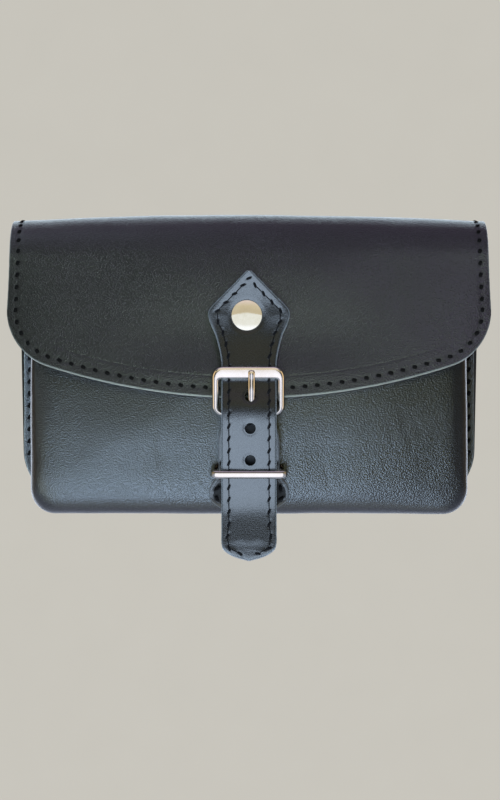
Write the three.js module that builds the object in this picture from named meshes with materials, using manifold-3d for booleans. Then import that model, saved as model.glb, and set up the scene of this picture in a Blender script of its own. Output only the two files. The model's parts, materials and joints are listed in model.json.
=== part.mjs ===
// Belt bag: a small leather pouch that hangs on a waist belt.
// One hide makes the back, the rolled top and the flap. A moulded body is sewn to it by a flange.
// A strap riveted to the flap closes in a buckle, which a sewn tab carries on the body's front.
// Millimetres, +z up, the front faces -y, x runs to the right as seen from the front.
// In the tables depth runs forwards from the rear face of the back, and height runs up from the
// lowest point of the body. The exported group puts its origin on the belt line.
import * as THREE from "three";
import { mergeVertices } from "three/addons/utils/BufferGeometryUtils.js";
import Module from "manifold-3d";

const wasm = await Module();
wasm.setup();

const GAP = 0.3; // between pieces that lie on each other
const WELD = 1e-3; // points closer than this are one point

const HIDE = {
  wall: 2.2,
  flapHalf: 98, // half width of the flap
  rollHalf: 97.3, // half width over the rolled top
  backHalf: 95.2, // half width at the foot of the back
  backFoot: 3,
  backCorner: 22,
  rollRadius: 20,
  rollHeight: 102, // height of the roll's axis
  lean: THREE.MathUtils.degToRad(10), // slope of the flap off upright
  flapFoot: 47.5, // lowest point of the flap's curved edge
  edgeRadius: 263, // of that edge
  flapCorner: 24,
  crown: 1.4, // rise of the roll in the middle
  crownFall: 2.8, // how far the roll's ends lie below its middle
  droop: 1.6, // how far the flap's side edges fall back
};
const BODY = { wall: 1.9, mouth: 102, leanFrom: 30, lean: 0.3, leanPower: 1.7 };
const STRAP = {
  wall: 2.6,
  holeRadius: 2.2,
  holeSide: 0.5, // the row of holes runs a little right of the middle
  holeDepth: 55.5,
  holeHeights: [22.5, 35.2, 47.9],
};
const TAB = { wall: 1.8, half: 10.3, foldRadius: 3.5, slotHalf: 2, slotFoot: 36.2 };
const BUCKLE = {
  half: 14.4,
  shift: -0.3, // to the side
  tall: 20,
  thick: 2.4,
  side: 2.65,
  topBar: 5,
  lowBar: 2.1,
  corners: { foot: 4.2, top: 4.4 },
  holeCorners: { foot: 1.6, top: 1 },
  bevel: 0.5,
  tilt: THREE.MathUtils.degToRad(11.2), // top forwards
  barDepth: 50.7, // axis of the low bar, which the tab and the prong turn round
  barHeight: 41.2,
};
const PRONG = {
  side: 1,
  radius: 1.05,
  widen: 1.3, // width over thickness
  eyeRadius: 2.75,
  eyeFrom: 110, // degrees round the low bar, 0 to the front and 90 up
  eyeTo: 350,
  clearance: 0.4, // all round it in the strap
};
const KEEPER = {
  half: 15.4,
  deep: 12.2,
  wire: 2.2,
  tall: 2.6,
  corner: 3,
  bevel: 0.7,
  tilt: THREE.MathUtils.degToRad(15), // front downwards
  depth: 52.55,
  height: 18.2,
};
const RIVET = {
  side: -0.9,
  height: 80.4,
  radius: 6.1,
  rim: 0.5, // height of the head's straight edge
  rimChamfer: 0.3,
  dome: 1.5, // rise of the head above that edge
  post: 1.9,
  hole: 2.3,
  disc: 4.4,
  discWall: 0.8,
};
const LOOP = {
  wall: 2.4,
  half: 12.5,
  side: 52, // from the middle of the bag to the middle of a loop
  slot: 5.6, // room for the belt
  foot: 18,
  slotFoot: 30,
  slotTop: 94,
  top: 101.5,
  ramp: 8, // height over which the loop steps off the back
  mitre: 1, // how much shorter the outer face is at each bend
};
const PUNCH = 16; // length of a cut through one thickness of leather
const BELT = { height: (LOOP.slotFoot + LOOP.slotTop) / 2, depth: -(GAP + LOOP.slot) / 2 };

// Turns rows of bare numbers under one line of column names into objects.
const table = (columns, rows) =>
  rows.map((row) => Object.fromEntries(columns.split(" ").map((name, i) => [name, row[i]])));

// Each row is one U of the moulded body, from the flange's edge to the middle of the front.
const BODY_SECTIONS = table("depth half foot corner", [
  [4.4, 95.2, 3, 22],
  [4.4, 90.2, 9, 17],
  [5.2, 89, 10.4, 15.5],
  [7, 88.6, 9.6, 15],
  [14, 88.9, 5, 13],
  [22, 89.2, 1.4, 12],
  [30, 89.2, 0, 12],
  [36, 88.6, 1, 12.5],
  [41, 86.6, 4.2, 13.5],
  [44.4, 82.4, 9.6, 14],
  [46, 75.5, 17.5, 14],
  [46.6, 60, 30, 14],
  [46.9, 36, 46, 12],
  [47, 0, 66, 0],
]);

// The strap's head lies on the flap, so its rows need no depth.
const STRAP_HEAD = table("height half", [
  [99.3, 0],
  [93, 6.3],
  [87.5, 11.8],
  [84.6, 14.7],
  [82.4, 16.2],
  [80.2, 16.3],
  [77, 15.3],
  [73, 13.5],
  [68, 12.1],
  [62.5, 11.1],
  [57.3, 11],
]);
const STRAP_TAIL = table("depth height half", [
  [51.9, 54, 11],
  [53.7, 50, 11],
  [56, 46, 11],
  [57.3, 42, 11],
  [57.6, 37, 11],
  [57.3, 30, 11],
  [56.5, 22, 11],
  [55.4, 15, 11],
  [54.2, 5, 11],
  [53.6, -5, 11],
  [53.5, -10.5, 10.9],
  [53.7, -13, 9.6],
  [53.9, -15.3, 6.2],
  [54.2, -17.4, 0],
]);

// The tab from its point under the body up to the buckle, and its short end behind.
const TAB_FRONT = table("depth height half", [
  [31.5, -2.2, 0],
  [36.8, -1.1, 6],
  [42.6, 2.6, 11.6],
  [45.2, 5.8, 15.4],
  [46.6, 9.2, 16.1],
  [47.7, 12.6, 14.9],
  [49, 15.4, 12.5],
  [51.6, 19.5, 12.2],
  [53.2, 24, 12.2],
  [54, 32, 12],
  [54.2, 38, TAB.half],
]);
const TAB_BACK = table("depth height half", [
  [47.2, 34, TAB.half],
  [47.3, 26, TAB.half],
]);

// The prong's free length, from its eye through the strap to its tip on the top bar.
const PRONG_REACH = table("depth height", [
  [53.7, 43.5],
  [54.3, 47],
  [55.4, 50.5],
  [55.95, 54.7],
  [56.35, 56.5],
  [56.72, 58.4],
]);

const at = (side, depth, height) => new THREE.Vector3(side, -depth, height);
const mix = THREE.MathUtils.lerp;
const fractions = (count) => Array.from({ length: count + 1 }, (_, i) => i / count);

// Places across a sheet or a strap, -1 to 1. A sheet's are crowded towards both edges.
const acrossSheet = fractions(24).map((t) => Math.sin((t - 0.5) * Math.PI));
const acrossStrap = fractions(4).map((t) => 2 * t - 1);

// A surface through rows of points. It faces out where rows run up and columns run to +x on the front.
function skin(rows) {
  const wide = rows[0].length;
  const points = rows.flat();
  const faces = [];
  for (let r = 0; r + 1 < rows.length; r++)
    for (let c = 0; c + 1 < wide; c++) {
      const a = r * wide + c;
      faces.push(a, a + 1, a + wide + 1, a, a + wide + 1, a + wide);
    }
  const loose = new THREE.BufferGeometry().setFromPoints(points).setIndex(faces);
  const surface = mergeVertices(loose, WELD);
  const index = [...surface.index.array];
  const kept = [];
  for (let i = 0; i < index.length; i += 3) {
    const [a, b, c] = index.slice(i, i + 3);
    if (a !== b && b !== c && c !== a) kept.push(a, b, c);
  }
  return surface.setIndex(kept);
}

// A closed wall: the surface, a copy of it set back by the thickness, and the cut edge between them.
function wall(surface, thickness) {
  surface.computeVertexNormals();
  const { position, normal } = surface.attributes;
  const count = position.count;
  const vector = (from, i) => new THREE.Vector3().fromBufferAttribute(from, i);
  const vectors = (from) => Array.from({ length: count }, (_, i) => vector(from, i));
  const outer = vectors(position);
  const inner = vectors(normal).map((out, i) => out.multiplyScalar(-thickness).add(outer[i]));
  const front = [...surface.index.array];
  const faces = [...front];
  const edges = new Map();
  for (let i = 0; i < front.length; i += 3) {
    const [a, b, c] = front.slice(i, i + 3);
    faces.push(a + count, c + count, b + count);
    for (const [from, to] of [[a, b], [b, c], [c, a]])
      if (!edges.delete(`${to} ${from}`)) edges.set(`${from} ${to}`, [from, to]);
  }
  for (const [from, to] of edges.values())
    faces.push(to, from, from + count, to, from + count, to + count);
  return new THREE.BufferGeometry().setFromPoints([...outer, ...inner]).setIndex(faces);
}

// Stations joined by a smooth curve, a few steps from each to the next.
function smooth(stations, steps) {
  const curve = new THREE.CatmullRomCurve3(
    stations.map(({ half, depth, height }) => new THREE.Vector3(half, depth, height)),
  );
  const points = curve.getPoints((stations.length - 1) * steps);
  return points.map(({ x, y, z }) => ({ half: x, depth: y, height: z }));
}

// A strip of leather through stations that run up its front.
function strip(stations, thickness) {
  const rows = smooth(stations, 2).map(({ half, depth, height }) =>
    acrossStrap.map((across) => at(across * Math.max(half, 0), depth, height)),
  );
  return wall(skin(rows), thickness);
}

// Closed geometry to a solid for cutting, and back.
function solid(geometry) {
  const bare = new THREE.BufferGeometry()
    .setAttribute("position", geometry.attributes.position)
    .setIndex(geometry.index);
  const { attributes, index } = mergeVertices(bare, WELD);
  return new wasm.Manifold(
    new wasm.Mesh({
      numProp: 3,
      vertProperties: attributes.position.array,
      triVerts: new Uint32Array(index.array),
    }),
  );
}
function cut(geometry, ...tools) {
  const { vertProperties, triVerts } = tools
    .reduce((left, tool) => left.subtract(solid(tool)), solid(geometry))
    .getMesh();
  return new THREE.BufferGeometry()
    .setAttribute("position", new THREE.BufferAttribute(vertProperties, 3))
    .setIndex(new THREE.BufferAttribute(triVerts, 1));
}

// A round punch across the front, centred at a depth and tipped by an angle off level.
function punch(radius, side, depth, height, tip) {
  const place = at(side, depth, height);
  return new THREE.CylinderGeometry(radius, radius, PUNCH, 20)
    .rotateX(Math.PI - tip)
    .translate(place.x, place.y, place.z);
}

// The hide

const rollFront = {
  depth: HIDE.rollRadius * (1 + Math.cos(HIDE.lean)),
  height: HIDE.rollHeight + HIDE.rollRadius * Math.sin(HIDE.lean),
};
const flapDepth = (height) => rollFront.depth + (rollFront.height - height) * Math.tan(HIDE.lean);

// Height of the flap's cut edge: a wide arc that turns into a corner on each side.
function flapEdge(side) {
  const { flapHalf, flapCorner, edgeRadius, flapFoot } = HIDE;
  const centreSide = flapHalf - flapCorner;
  const reach = edgeRadius - flapCorner;
  const centreRise = edgeRadius - Math.sqrt(reach ** 2 - centreSide ** 2);
  const meet = (centreSide * edgeRadius) / reach;
  if (side <= meet) return flapFoot + edgeRadius - Math.sqrt(edgeRadius ** 2 - side ** 2);
  return flapFoot + centreRise - Math.sqrt(Math.max(flapCorner ** 2 - (side - centreSide) ** 2, 0));
}

function backEdge(side) {
  const past = Math.max(side - (HIDE.backHalf - HIDE.backCorner), 0);
  return HIDE.backFoot + HIDE.backCorner - Math.sqrt(Math.max(HIDE.backCorner ** 2 - past ** 2, 0));
}

function flapRow(up) {
  return acrossSheet.map((across) => {
    const side = mix(HIDE.flapHalf, HIDE.rollHalf, up) * across;
    const height = mix(flapEdge(Math.abs(HIDE.flapHalf * across)), rollFront.height, up);
    const fallen = HIDE.droop * across ** 8 * (1 - up ** 3);
    return at(side, flapDepth(height) - fallen, height);
  });
}

function rollRow(turn) {
  const angle = mix(HIDE.lean, Math.PI, turn);
  return acrossSheet.map((across) => {
    const crown = (HIDE.crown - HIDE.crownFall * across ** 2) * Math.sin(turn * Math.PI) ** 2;
    const depth = HIDE.rollRadius * (1 + Math.cos(angle));
    const height = HIDE.rollHeight + HIDE.rollRadius * Math.sin(angle) + crown;
    return at(HIDE.rollHalf * across, depth, height);
  });
}

function backRow(down) {
  return acrossSheet.map((across) => {
    const foot = backEdge(Math.abs(HIDE.backHalf * across));
    return at(mix(HIDE.rollHalf, HIDE.backHalf, down) * across, 0, mix(HIDE.rollHeight, foot, down));
  });
}

const rivetDepth = flapDepth(RIVET.height);
const rivetHole = punch(RIVET.hole, RIVET.side, rivetDepth, RIVET.height, HIDE.lean);

function hideGeometry() {
  const rows = [
    ...fractions(8).map(flapRow),
    ...fractions(10).slice(1).map(rollRow),
    ...fractions(5).slice(1).map(backRow),
  ];
  return cut(wall(skin(rows), HIDE.wall), rivetHole);
}

// The moulded body

// The front leans back above the belly.
function bodyPoint(side, depth, height) {
  const rise = THREE.MathUtils.clamp((height - BODY.leanFrom) / (BODY.mouth - BODY.leanFrom), 0, 1);
  const rear = BODY_SECTIONS[0].depth;
  return at(side, rear + (depth - rear) * (1 - BODY.lean * rise ** BODY.leanPower), height);
}

function bodyRow({ depth, half, foot, corner }) {
  const leg = fractions(6).map((t) => [half, mix(BODY.mouth, foot + corner, t)]);
  const bend = fractions(5)
    .slice(1)
    .map((t) => (t * Math.PI) / 2)
    .map((angle) => [half - corner + corner * Math.cos(angle), foot + corner - corner * Math.sin(angle)]);
  const base = fractions(5)
    .slice(1)
    .map((t) => [(half - corner) * (1 - t), foot]);
  const right = [...leg, ...bend, ...base];
  const left = right.slice(0, -1).map(([side, height]) => [-side, height]);
  return [...left, ...right.reverse()].map(([side, height]) => bodyPoint(side, depth, height));
}

const bodyGeometry = () => wall(skin(BODY_SECTIONS.map(bodyRow)), BODY.wall);

// Strap, buckle and tab

function strapGeometry() {
  const offFlap = (GAP + STRAP.wall) / Math.cos(HIDE.lean);
  const head = STRAP_HEAD.map(({ height, half }) => ({ depth: flapDepth(height) + offFlap, height, half }));
  const stations = [...head, ...STRAP_TAIL].reverse();
  const { holeRadius, holeSide, holeDepth, holeHeights } = STRAP;
  const holes = holeHeights.map((height) => punch(holeRadius, holeSide, holeDepth, height, 0));
  const prongRoom = prongGeometry(PRONG.radius + PRONG.clearance);
  return cut(strip(stations, STRAP.wall), rivetHole, ...holes, prongRoom);
}

function tabGeometry() {
  const { barDepth, barHeight } = BUCKLE;
  const fold = fractions(6).map((t) => ({
    depth: barDepth + TAB.foldRadius * Math.cos(t * Math.PI),
    height: barHeight + TAB.foldRadius * Math.sin(t * Math.PI),
    half: TAB.half,
  }));
  const slotTall = 2 * (barHeight - TAB.slotFoot);
  const place = at(PRONG.side, barDepth, barHeight);
  const slot = new THREE.BoxGeometry(2 * TAB.slotHalf, 4 * TAB.foldRadius, slotTall);
  slot.translate(place.x, place.y, place.z);
  return cut(strip([...TAB_FRONT, ...fold, ...TAB_BACK], TAB.wall), slot);
}

// A rectangle with one radius for its two lower corners and one for its upper ones.
function roundedRectangle(path, half, foot, top, corners) {
  const low = { side: half - corners.foot, height: foot + corners.foot };
  const high = { side: half - corners.top, height: top - corners.top };
  const right = Math.PI / 2;
  return path
    .moveTo(-low.side, foot)
    .absarc(low.side, low.height, corners.foot, -right, 0)
    .absarc(high.side, high.height, corners.top, 0, right)
    .absarc(-high.side, high.height, corners.top, right, 2 * right)
    .absarc(-low.side, low.height, corners.foot, 2 * right, 3 * right);
}

// A flat ring with bevelled edges, drawn in its own plane and centred on its thickness.
function ringGeometry(outline, hole, thick, bevel) {
  outline.holes.push(hole);
  return new THREE.ExtrudeGeometry(outline, {
    depth: thick - 2 * bevel,
    bevelThickness: bevel,
    bevelSize: bevel,
    bevelOffset: -bevel,
    bevelSegments: 2,
    curveSegments: 5,
  }).translate(0, 0, bevel - thick / 2);
}

// The frame's y runs up it from the axis of the low bar.
function buckleGeometry() {
  const { half, tall, side, topBar, lowBar, corners, holeCorners } = BUCKLE;
  const foot = -lowBar / 2;
  const top = foot + tall;
  const outline = roundedRectangle(new THREE.Shape(), half, foot, top, corners);
  const hole = roundedRectangle(new THREE.Path(), half - side, lowBar / 2, top - topBar, holeCorners);
  return ringGeometry(outline, hole, BUCKLE.thick, BUCKLE.bevel);
}

function keeperGeometry() {
  const { half, deep, wire, corner } = KEEPER;
  const reach = deep / 2;
  const corners = { foot: corner, top: corner };
  const holeCorners = { foot: corner - wire, top: corner - wire };
  const outline = roundedRectangle(new THREE.Shape(), half, -reach, reach, corners);
  const hole = roundedRectangle(new THREE.Path(), half - wire, wire - reach, reach - wire, holeCorners);
  return ringGeometry(outline, hole, KEEPER.tall, KEEPER.bevel);
}

// A wire, a little wider than it is thick, bent round the buckle's low bar, then up through the strap.
function prongGeometry(radius) {
  const eye = fractions(8)
    .map((t) => THREE.MathUtils.degToRad(mix(PRONG.eyeFrom, PRONG.eyeTo, t)))
    .map((angle) => ({
      depth: BUCKLE.barDepth + PRONG.eyeRadius * Math.cos(angle),
      height: BUCKLE.barHeight + PRONG.eyeRadius * Math.sin(angle),
    }));
  const route = [...eye, ...PRONG_REACH].map(({ depth, height }) => at(0, depth, height));
  const section = new THREE.Shape().absarc(0, 0, radius, 0, 2 * Math.PI);
  return new THREE.ExtrudeGeometry(section, {
    extrudePath: new THREE.CatmullRomCurve3(route),
    steps: 2 * (route.length - 1),
    curveSegments: 5,
  })
    .scale(PRONG.widen, 1, 1)
    .translate(PRONG.side, 0, 0);
}

// A domed head, a post through strap and flap, and a flat disc behind. The profile runs out along y.
function rivetGeometry() {
  const head = GAP + STRAP.wall + GAP; // seat of the head above the flap's outer face
  const back = -HIDE.wall - GAP;
  const dome = fractions(6).map((t) => [
    RIVET.radius * Math.cos((t * Math.PI) / 2),
    head + RIVET.rim + RIVET.dome * Math.sin((t * Math.PI) / 2),
  ]);
  const profile = [
    [0, back - RIVET.discWall],
    [RIVET.disc, back - RIVET.discWall],
    [RIVET.disc, back],
    [RIVET.post, back],
    [RIVET.post, head],
    [RIVET.radius - RIVET.rimChamfer, head],
    ...dome,
  ];
  const points = profile.map(([radius, along]) => new THREE.Vector2(Math.max(radius, 0), along));
  points.at(-1).x = 0;
  return new THREE.LatheGeometry(points, 24);
}

// A belt loop: a band whose ends lie on the back and whose middle stands off it, drawn from the side.
function loopGeometry() {
  const { wall: thick, half, slot, foot, slotFoot, slotTop, top, ramp, mitre } = LOOP;
  const low = GAP; // inner face of the sewn ends, behind the back
  const high = GAP + slot;
  const shape = new THREE.Shape([
    [low, foot],
    [low, slotFoot],
    [high, slotFoot + ramp],
    [high, slotTop - ramp],
    [low, slotTop],
    [low, top],
    [low + thick, top],
    [low + thick, slotTop + mitre],
    [high + thick, slotTop - ramp + mitre],
    [high + thick, slotFoot + ramp - mitre],
    [low + thick, slotFoot - mitre],
    [low + thick, foot],
  ].map(([behind, height]) => new THREE.Vector2(behind, height)));
  const band = new THREE.ExtrudeGeometry(shape, { depth: 2 * half, bevelEnabled: false });
  const axes = new THREE.Matrix4().makeBasis(
    new THREE.Vector3(0, 1, 0),
    new THREE.Vector3(0, 0, 1),
    new THREE.Vector3(1, 0, 0),
  );
  return band.translate(0, 0, -half).applyMatrix4(axes);
}

// Assembly

const leather = { color: 0x1b1b20, roughness: 0.5, metalness: 0 };
const nickel = { color: 0xc4beb2, roughness: 0.25, metalness: 1 };

function piece(name, geometry, finish) {
  geometry.computeVertexNormals();
  const mesh = new THREE.Mesh(geometry, new THREE.MeshStandardMaterial(finish));
  mesh.name = name;
  return mesh;
}

const frame = piece("buckle_frame", buckleGeometry(), nickel);
frame.position.copy(at(BUCKLE.shift, BUCKLE.barDepth, BUCKLE.barHeight));
frame.rotation.x = Math.PI / 2 + BUCKLE.tilt;

const keeper = piece("keeper_loop", keeperGeometry(), nickel);
keeper.position.copy(at(0, KEEPER.depth, KEEPER.height));
keeper.rotation.x = KEEPER.tilt;

const rivet = piece("rivet", rivetGeometry(), nickel);
rivet.position.copy(at(RIVET.side, rivetDepth, RIVET.height));
rivet.rotation.x = Math.PI - HIDE.lean;

const loops = Object.entries({ left: -1, right: 1 }).map(([name, sign]) => {
  const loop = piece(`belt_loop_${name}`, loopGeometry(), leather);
  loop.position.x = sign * LOOP.side;
  return loop;
});

const pouch = new THREE.Group();
pouch.position.copy(at(0, BELT.depth, BELT.height)).negate();
pouch.add(
  piece("back_flap", hideGeometry(), leather),
  piece("front_body", bodyGeometry(), leather),
  piece("billet_strap", strapGeometry(), leather),
  piece("buckle_tab", tabGeometry(), leather),
  frame,
  piece("buckle_prong", prongGeometry(PRONG.radius), nickel),
  keeper,
  rivet,
  ...loops,
);

const bag = new THREE.Group();
bag.add(pouch);
export default bag;
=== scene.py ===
# Black leather belt bag with a strap, buckle and keeper on its front, hanging as worn.
# Sizes in the dictionaries are millimetres unless a note says otherwise. A dent, groove or crease is a depth
# and a width, a stitch is a length and a width, a swell is a depth, a size and a seed, and pairs of sides,
# heights, runs or rows are from and to.
import bisect
import json
import math

import bpy
from mathutils import Matrix, Vector, kdtree, noise

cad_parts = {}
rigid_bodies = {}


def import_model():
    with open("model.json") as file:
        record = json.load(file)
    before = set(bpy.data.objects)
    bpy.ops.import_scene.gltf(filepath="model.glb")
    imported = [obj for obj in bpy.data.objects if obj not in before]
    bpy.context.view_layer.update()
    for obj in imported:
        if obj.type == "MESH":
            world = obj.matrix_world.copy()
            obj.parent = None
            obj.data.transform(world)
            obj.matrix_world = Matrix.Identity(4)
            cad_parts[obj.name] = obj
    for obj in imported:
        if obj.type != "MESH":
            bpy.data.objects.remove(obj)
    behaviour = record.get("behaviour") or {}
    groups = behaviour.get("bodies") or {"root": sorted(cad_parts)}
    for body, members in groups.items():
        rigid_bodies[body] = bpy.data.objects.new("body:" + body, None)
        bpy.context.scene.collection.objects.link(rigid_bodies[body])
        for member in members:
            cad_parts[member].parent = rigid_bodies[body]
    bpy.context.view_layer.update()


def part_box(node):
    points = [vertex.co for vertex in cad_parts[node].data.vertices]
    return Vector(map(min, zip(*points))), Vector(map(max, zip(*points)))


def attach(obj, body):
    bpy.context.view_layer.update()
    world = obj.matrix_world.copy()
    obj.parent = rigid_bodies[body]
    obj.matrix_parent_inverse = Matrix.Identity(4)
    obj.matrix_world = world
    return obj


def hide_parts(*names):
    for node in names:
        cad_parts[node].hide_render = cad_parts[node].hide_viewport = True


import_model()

mm = 0.001
probe = 0.05    # millimetres to either side of a place, to find which way the leather faces there
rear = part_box("back_flap")[1].y    # rear face of the back, where depth is counted from
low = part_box("front_body")[0].z    # underside of the body, where height is counted from


# from side, depth and height on the bag to a place in the frame
def place(side, depth, height):
    return Vector((side * mm, rear - depth * mm, low + height * mm))


def heightOf(point):
    return (point.z - low) / mm


def mix(a, b, share):
    return a + (b - a) * share


def limit(value, lowest=0.0, highest=1.0):
    return max(lowest, min(highest, value))


# 0 before start, 1 after end, and an even turn between them
def ease(start, end, value):
    share = limit((value - start) / (end - start))
    return share * share * (3 - 2 * share)


# a soft bump of height 1 at zero
def bell(distance, width):
    return math.exp(-((distance / width) ** 2))


# a soft dent with its depth and width, this far from its middle
def dent(distance, shape):
    depth, width = shape
    return depth * bell(distance, width)


# even shares from 0 to 1
def shares(count):
    return [i / count for i in range(count + 1)]


# values from the first mark to the last, each stretch in even steps close to its own step
def stepped(marks):
    values = []
    ends = [mark[0] for mark in marks[1:]]
    for (start, step), end in zip(marks, ends):
        count = max(1, round(abs(end - start) / step))
        values += [mix(start, end, i / count) for i in range(count)]
    return values + ends[-1:]


# the same between two edges, where bands say how far in from either edge a new step starts
def edgeToEdge(start, end, bands):
    rising = [(start + inset, step) for inset, step in bands]
    falling = [(end - bands[i + 1][0], bands[i][1]) for i in reversed(range(len(bands) - 1))]
    return stepped(rising + falling + [(end, 0)])


# a smooth curve through a table's rows, at a spot counted in rows
def through(rows, spot):
    i = int(limit(math.floor(spot), 0, len(rows) - 2))
    t = spot - i
    before, a, b, after = (rows[int(limit(k, 0, len(rows) - 1))] for k in (i - 1, i, i + 1, i + 2))
    return [
        0.5 * (2 * q + (r - p) * t + (2 * p - 5 * q + 4 * r - s) * t * t + (3 * q - p - 3 * r + s) * t ** 3)
        for p, q, r, s in zip(before, a, b, after)
    ]


def wave(point, size, seed=0.0):
    return noise.noise(point / (size * mm) + Vector((seed, seed * 1.7, seed * 0.6)))


# swells of the leather together, each with its depth, its size and a seed
def swelling(point, swells):
    return sum(depth * wave(point, size, seed) for depth, size, seed in swells)


def onlySelect(piece):
    bpy.ops.object.select_all(action="DESELECT")
    piece.select_set(True)
    bpy.context.view_layer.objects.active = piece


def editAll(piece, action="SELECT"):
    onlySelect(piece)
    bpy.ops.object.mode_set(mode="EDIT")
    bpy.ops.mesh.select_all(action=action)


def applyModifiers(piece):
    onlySelect(piece)
    for modifier in list(piece.modifiers):
        bpy.ops.object.modifier_apply(modifier=modifier.name)


# materials

def colour(text):
    parts = [int(text[i:i + 2], 16) / 255 for i in (1, 3, 5)]
    return [c / 12.92 if c <= 0.04045 else ((c + 0.055) / 1.055) ** 2.4 for c in parts] + [1]


def addNode(tree, kind, values=None, links=None, **settings):
    node = tree.nodes.new("ShaderNode" + kind)
    for name, value in settings.items():
        setattr(node, name, value)
    for socket, value in (values or {}).items():
        node.inputs[socket].default_value = value
    for socket, source in (links or {}).items():
        tree.links.new(source, node.inputs[socket])
    return node


def startMaterial(name):
    material = bpy.data.materials.new(name)
    material.use_nodes = True
    tree = material.node_tree
    return material, tree, tree.nodes["Principled BSDF"], addNode(tree, "TexCoord").outputs


# repeats per metre of a pattern whose parts are this many millimetres
def perMm(size):
    return 1 / (size * mm)


leatherGrain = {    # alike for every leather here
    "wander": 0.25, "fineShare": 0.3, "foldDepth": 0.3, "cloudMatt": 0.08, "cloudShine": 0.06,
    "sewnMatt": 0.4, "ior": 1.5, "coatRough": 0.28,
}


# Full-grain leather, dyed black and finished: small pebbles with matt creases between them, faint long
# wrinkles and a soft blue-grey shine. Its colour is darker in the creases and lighter on the pebbles' tops,
# the grain's own tone together with painted shade and painted highlight; it has painted shade, darkened and
# matt, along the sewn rows; and it is pale at the edges, partly rubbed wear and partly a painted highlight
# where the rounded edge catches light. The pebbles are drawn about twice as coarse as real ones, so that
# they show at this size.
def leatherMaterial(name, look):
    material, tree, shader, coords = startMaterial(name)
    wide, tall = look["pebble"]
    laid = addNode(tree, "Mapping", {"Scale": (perMm(wide), perMm(tall), perMm(tall))},
                   {"Vector": coords["Object"]}).outputs[0]
    warp = addNode(tree, "TexNoise", {"Scale": 0.4, "Detail": 2}, {"Vector": laid})
    spot = addNode(tree, "VectorMath", {1: (leatherGrain["wander"],) * 3},
                   {0: warp.outputs["Color"], 2: laid}, operation="MULTIPLY_ADD").outputs[0]
    pebble = addNode(tree, "TexVoronoi", {"Scale": 1}, {"Vector": spot}, feature="F1")
    dome = addNode(tree, "MapRange", {"From Min": 0.1, "From Max": 0.8, "To Min": 1, "To Max": 0},
                   {"Value": pebble.outputs["Distance"]})
    fine = addNode(tree, "TexNoise", {"Scale": 1.4, "Detail": 3, "Roughness": 0.6}, {"Vector": laid})
    stretched = addNode(tree, "Mapping", {"Scale": look["wrinkle"]}, {"Vector": coords["Object"]})
    wrinkle = addNode(tree, "TexNoise", {"Scale": 1, "Detail": 3, "Distortion": 0.6},
                      {"Vector": stretched.outputs[0]})
    cloud = addNode(tree, "TexNoise", {"Scale": perMm(look["cloud"]), "Detail": 4},
                    {"Vector": coords["Object"]})
    edge = addNode(tree, "Attribute", attribute_name="edge").outputs["Fac"]
    # painted shade: this attribute is near 1 beside the stitch holes, where the leather is painted darker and
    # left matt
    sewnShade = addNode(tree, "Attribute", attribute_name="sewnShade").outputs["Fac"]
    # painted highlight and wear: within about half a millimetre of a cut edge the colour is mixed towards a
    # pale blue-grey, partly rubbed wear and partly standing in for the light the rounded edge catches
    edgeRubAndLight = addNode(tree, "MapRange", {"From Min": 0.1, "From Max": 0.6, "To Min": 1.6, "To Max": 0},
                  {"Value": edge})
    rubbedAndRimLit = addNode(tree, "Math", {}, {0: edgeRubAndLight.outputs[0], 1: fine.outputs["Fac"]}, operation="MULTIPLY",
                     use_clamp=True)

    tone = addNode(tree, "MapRange", {"From Min": 0.35, "From Max": 0.68}, {"Value": cloud.outputs["Fac"]})
    dyed = addNode(tree, "Mix", {6: colour(look["dark"]), 7: colour(look["light"])}, {0: tone.outputs[0]},
                   data_type="RGBA")
    # painted shade and highlight with the grain's own tone: the colour is darker in the creases between
    # pebbles and lighter on their tops
    crease = addNode(tree, "MapRange", {"To Min": 0.3, "To Max": 1.3}, {"Value": dome.outputs[0]})
    grained = addNode(tree, "Mix", {0: 1.0}, {6: dyed.outputs[2], 7: crease.outputs[0]}, data_type="RGBA",
                      blend_type="MULTIPLY")
    wornAndRimLit = addNode(tree, "Mix", {7: colour(look["rubbedAndRimLit"])}, {0: rubbedAndRimLit.outputs[0], 6: grained.outputs[2]},
                   data_type="RGBA")
    # painted shade: beside the stitch holes the colour is mixed towards near-black
    waxed = addNode(tree, "Mix", {7: colour(look["sewnShade"])}, {0: sewnShade, 6: wornAndRimLit.outputs[2]}, data_type="RGBA")
    tree.links.new(waxed.outputs[2], shader.inputs["Base Color"])

    smooth = addNode(tree, "MapRange", {"To Min": look["rough"] + leatherGrain["cloudMatt"],
                                        "To Max": look["rough"] - leatherGrain["cloudShine"]},
                     {"Value": cloud.outputs["Fac"]})
    polish = addNode(tree, "Math", {1: -look["polish"]}, {0: dome.outputs[0], 2: smooth.outputs[0]},
                     operation="MULTIPLY_ADD")
    matt = addNode(tree, "Math", {1: leatherGrain["sewnMatt"]}, {0: sewnShade, 2: polish.outputs[0]},
                   operation="MULTIPLY_ADD")
    tree.links.new(matt.outputs[0], shader.inputs["Roughness"])

    grain = addNode(tree, "Math", {1: leatherGrain["fineShare"]},
                    {0: fine.outputs["Fac"], 2: dome.outputs[0]}, operation="MULTIPLY_ADD")
    folds = addNode(tree, "Bump", {"Strength": look["wrinkleBump"],
                                   "Distance": leatherGrain["foldDepth"] * mm},
                    {"Height": wrinkle.outputs["Fac"]})
    bump = addNode(tree, "Bump", {"Strength": look["bump"], "Distance": look["grainDepth"] * mm},
                   {"Height": grain.outputs[0], "Normal": folds.outputs[0]})
    tree.links.new(bump.outputs[0], shader.inputs["Normal"])
    shader.inputs["IOR"].default_value = leatherGrain["ior"]
    shader.inputs["Specular IOR Level"].default_value = look["specular"]
    shader.inputs["Coat Weight"].default_value = look["coat"]
    shader.inputs["Coat Roughness"].default_value = leatherGrain["coatRough"]
    return material


# in each look, the colour for beside the stitch holes is painted shade, and the pale colour for the cut edges
# is partly rubbed wear and partly a painted highlight
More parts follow.
